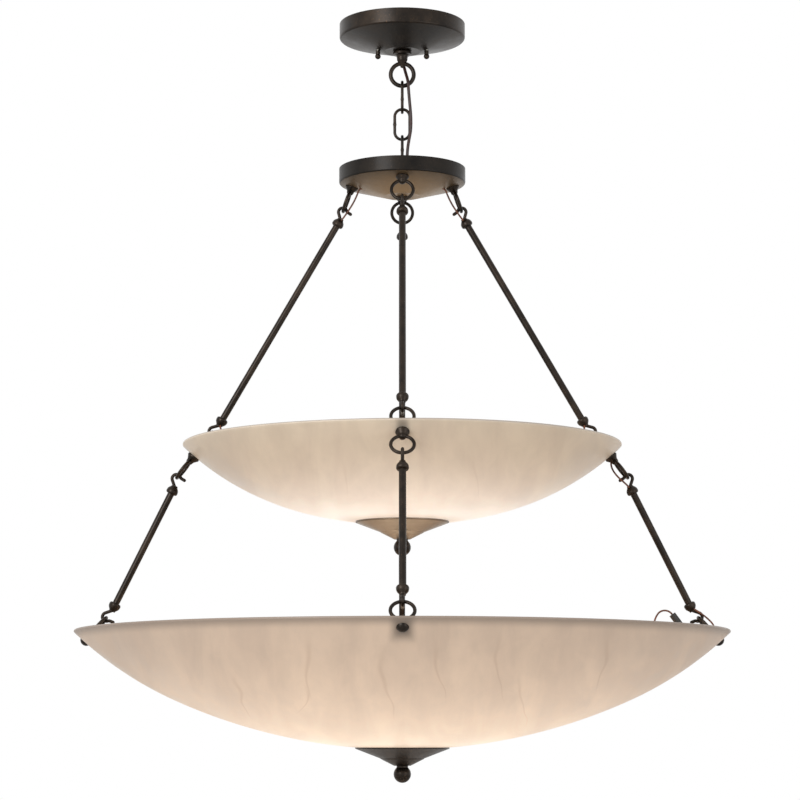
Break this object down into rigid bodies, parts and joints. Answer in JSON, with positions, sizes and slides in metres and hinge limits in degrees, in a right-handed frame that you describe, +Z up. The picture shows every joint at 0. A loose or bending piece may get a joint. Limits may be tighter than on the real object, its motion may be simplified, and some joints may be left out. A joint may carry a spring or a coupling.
{
  "type": "multi-light pendant light",
  "caption": "Two-tier bowl pendant: a small and a large alabaster-look bowl on rods, rings and hooks below a round hub, hung by a short chain from a round ceiling canopy.",
  "frame": {"origin": "on the ceiling, at the middle of the crossbar's pair of slots over the outlet box", "axes": "+Z up, -Y towards the front, one arm along each of +X, +Y, -X and -Y; everything hangs below zero"},
  "size_m": [0.9144, 0.9144, 1.0783],
  "materials": {
    "bronze": "oil-rubbed bronze, satin",
    "champagne": "champagne, satin",
    "zinc_steel": "zinc plated",
    "bowl_glass": "frosted cream with faint veins, lit from inside",
    "bulb_glass": "frosted white",
    "socket_plastic": "matt",
    "gasket_rubber": "matt",
    "cord_jacket": "clear dark red-brown jacket",
    "lead_jacket": "brown jacket",
    "white_enamel": "white enamel"
  },
  "bodies": {
    "ceiling_set": {"canopy": "bronze", "crossbar": "zinc_steel", "canopy_screws": "zinc_steel", "canopy_ball_nuts": "bronze", "canopy_stem": "zinc_steel", "canopy_locknut": "zinc_steel", "canopy_loop": "bronze"},
    "ring": {"canopy_ring": "bronze"},
    "link_1": {"chain_link_1": "bronze"},
    "link_2": {"chain_link_2": "bronze", "supply_cord": "cord_jacket"},
    "link_3": {"chain_link_3": "bronze"},
    "hanging_light": {"hub_cap_nut": "bronze", "hub_cup_nuts": "zinc_steel", "hub_cups": "bronze", "hub_loop": "bronze", "hub_pan": "bronze", "hub_plate": "zinc_steel", "hub_rings": "bronze", "hub_terminal_block": "socket_plastic", "lead_connector": "socket_plastic", "lower_bolts": "bronze", "lower_bowl": "bowl_glass", "lower_bulbs": "bulb_glass", "lower_check_plate": "bronze", "lower_cluster": "white_enamel", "lower_finial": "bronze", "lower_inner_cups": "bronze", "lower_lamp_lead": "lead_jacket", "lower_rings": "bronze", "lower_rod_back": "bronze", "lower_rod_bottom_hooks": "bronze", "lower_rod_front": "bronze", "lower_rod_left": "bronze", "lower_rod_right": "bronze", "lower_rod_top_hooks": "bronze", "lower_sockets": "socket_plastic", "lower_square_plates": "bronze", "lower_stem": "zinc_steel", "seat_washers": "zinc_steel", "stem_nuts": "zinc_steel", "upper_bowl": "bowl_glass", "upper_bulbs": "bulb_glass", "upper_check_plate": "champagne", "upper_cluster": "white_enamel", "upper_finial": "bronze", "upper_gaskets": "gasket_rubber", "upper_inner_cups": "bronze", "upper_inner_rings": "bronze", "upper_lamp_lead": "lead_jacket", "upper_outer_cups": "bronze", "upper_outer_rings": "bronze", "upper_rod_back": "bronze", "upper_rod_bottom_hooks": "bronze", "upper_rod_front": "bronze", "upper_rod_left": "bronze", "upper_rod_right": "bronze", "upper_rod_top_hooks": "bronze", "upper_sockets": "socket_plastic", "upper_stem": "zinc_steel"}
  },
  "joints": [
    {"name": "ring_swing", "type": "hinge", "parent": "ceiling_set", "child": "ring", "pos_m": [0, 0, -0.05693], "axis": [1, 0, 0], "range_deg": [-15, 15]},
    {"name": "link_1_swing", "type": "hinge", "parent": "ring", "child": "link_1", "pos_m": [0, 0, -0.08453], "axis": [0, 1, 0], "range_deg": [-15, 15]},
    {"name": "link_2_swing", "type": "hinge", "parent": "link_1", "child": "link_2", "pos_m": [0, 0, -0.12433], "axis": [1, 0, 0], "range_deg": [-15, 15], "deforming": ["supply_cord"]},
    {"name": "link_3_swing", "type": "hinge", "parent": "link_2", "child": "link_3", "pos_m": [0, 0, -0.16413], "axis": [0, 1, 0], "range_deg": [-15, 15]},
    {"name": "light_swing", "type": "hinge", "parent": "link_3", "child": "hanging_light", "pos_m": [0, 0, -0.20378], "axis": [1, 0, 0], "range_deg": [-15, 15]}
  ]
}
